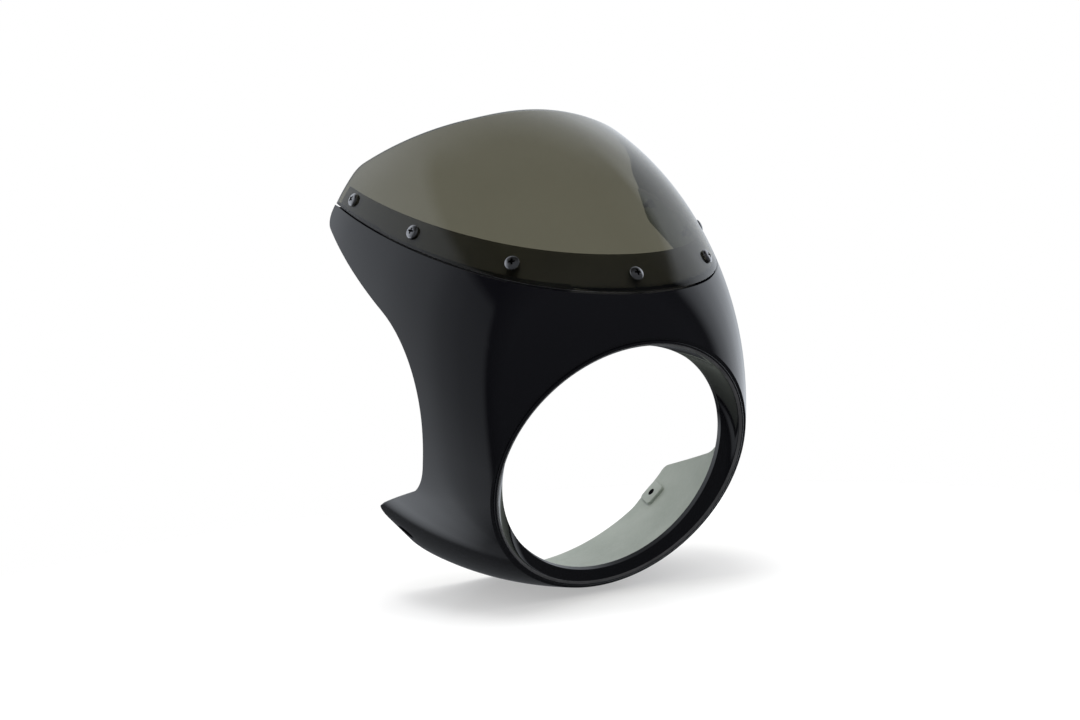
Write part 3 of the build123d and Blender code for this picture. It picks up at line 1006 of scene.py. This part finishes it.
def floor():
    """White floor under the keel: it keeps the shadow, mirrors faintly and fades out towards its rim."""
    bpy.ops.object.select_all(action="DESELECT")
    bpy.ops.mesh.primitive_circle_add(vertices=96, radius=FLOOR_R, fill_type="NGON")
    plane = added("floor")
    touch = (0, FLOOR_TOUCH_Y, FLOOR_TOUCH_Z)
    placed(plane, Matrix.Translation(touch) @ Matrix.Rotation(-FLOOR_LEAN, 4, "X"))
    material = bpy.data.materials.new("floor")
    material.use_nodes = True
    nodes, links = material.node_tree.nodes, material.node_tree.links
    nodes.remove(nodes["Principled BSDF"])
    place, away = nodes.new("ShaderNodeTexCoord"), nodes.new("ShaderNodeVectorMath")
    away.operation = "DISTANCE"
    away.inputs[1].default_value = touch
    links.new(place.outputs["Object"], away.inputs[0])

    def share(start, end, low, high):
        """Value that goes from low to high between two distances from the keel."""
        ramp = nodes.new("ShaderNodeMapRange")
        for name, value in (("From Min", start), ("From Max", end), ("To Min", low), ("To Max", high)):
            ramp.inputs[name].default_value = value
        links.new(away.outputs["Value"], ramp.inputs["Value"])
        return ramp.outputs["Result"]

    def mixed(share_of_second, first, second):
        mix = nodes.new("ShaderNodeMixShader")
        links.new(share_of_second, mix.inputs["Fac"])
        links.new(first, mix.inputs[1])
        links.new(second, mix.inputs[2])
        return mix.outputs["Shader"]

    diffuse, glow = nodes.new("ShaderNodeBsdfDiffuse"), nodes.new("ShaderNodeEmission")
    diffuse.inputs["Color"].default_value = (FLOOR_SHADE, FLOOR_SHADE, FLOOR_SHADE, 1)
    level = nodes.new("ShaderNodeMath")
    level.operation = "MULTIPLY"
    links.new(seen_straight(nodes, links), level.inputs[0])
    level.inputs[1].default_value = FLOOR_GLOW
    links.new(level.outputs["Value"], glow.inputs["Strength"])
    matt = nodes.new("ShaderNodeAddShader")
    links.new(diffuse.outputs["BSDF"], matt.inputs[0])
    links.new(glow.outputs["Emission"], matt.inputs[1])
    mirror, clear = nodes.new("ShaderNodeBsdfGlossy"), nodes.new("ShaderNodeBsdfTransparent")
    mirror.inputs["Roughness"].default_value = FLOOR_MIRROR_ROUGH
    surface = mixed(share(*FLOOR_MIRROR), matt.outputs["Shader"], mirror.outputs["BSDF"])
    surface = mixed(share(*FLOOR_RIM), surface, clear.outputs["BSDF"])
    below = nodes.new("ShaderNodeNewGeometry").outputs["Backfacing"]
    links.new(mixed(below, surface, clear.outputs["BSDF"]), nodes["Material Output"].inputs["Surface"])
    dress(plane, material)
    plane.visible_glossy = False


def soft_light(name, place, aim, width, power):
    data = bpy.data.lights.new(name, "AREA")
    data.shape, data.size, data.energy = "DISK", width, power
    lamp = bpy.data.objects.new(name, data)
    bpy.context.scene.collection.objects.link(lamp)
    way = Vector(aim) - Vector(place)
    lamp.matrix_world = Matrix.Translation(place) @ way.to_track_quat("-Z", "Y").to_matrix().to_4x4()
    lamp.visible_glossy = lamp.visible_transmission = lamp.visible_camera = False


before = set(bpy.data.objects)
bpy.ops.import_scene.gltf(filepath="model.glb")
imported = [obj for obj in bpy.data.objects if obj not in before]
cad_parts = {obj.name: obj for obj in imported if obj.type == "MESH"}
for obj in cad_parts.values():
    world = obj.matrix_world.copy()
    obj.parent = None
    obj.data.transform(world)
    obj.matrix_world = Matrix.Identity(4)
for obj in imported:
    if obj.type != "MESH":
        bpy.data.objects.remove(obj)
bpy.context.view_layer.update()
bpy.context.scene.tool_settings.mesh_select_mode = (True, False, False)
bpy.context.scene.view_settings.view_transform = "Standard"
add_camera()
uneven = unevenness_group()
zinc = plated("zinc", uneven, dark=(0.42, 0.43, 0.45), light=(0.6, 0.61, 0.63), rough=(0.28, 0.42))
nickel = plated("dark_nickel", uneven, dark=(0.28, 0.28, 0.29), light=(0.38, 0.38, 0.39), rough=(0.16, 0.28))
# Near-black finish of the cross recesses: painted shade.
painted_shade = plated("recess_painted_shade", uneven, dark=(0.006,) * 3, light=(0.014,) * 3, rough=(0.5, 0.7))
places = screw_places()
# The flange finish is partly painted reflection.
# The lip's line finish is a painted highlight.
cowl_finishes = gloss_black(uneven), raw_inside(uneven), flange_painted_sheen(uneven), painted_highlight_edge(uneven)
# The screen's lower edge is painted shade.
pieces = {
    "cowl_shell": cowl_shell(places, *cowl_finishes),
    "windscreen": windscreen(places, smoked_acrylic(uneven), painted_seam_shade(uneven)),
    "screen_screws": screws(places, nickel, painted_shade),
    "screen_nuts": nuts(places, zinc),
    "nut_washers": washers(places, zinc),
}
for node, piece in pieces.items():
    placed(piece, TO_SEAT)
    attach(piece, "root")
    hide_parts(node)
studio_world()
studio_walls()
floor()
soft_light("key", KEY_PLACE, KEY_AIM, KEY_WIDTH, KEY_POWER)
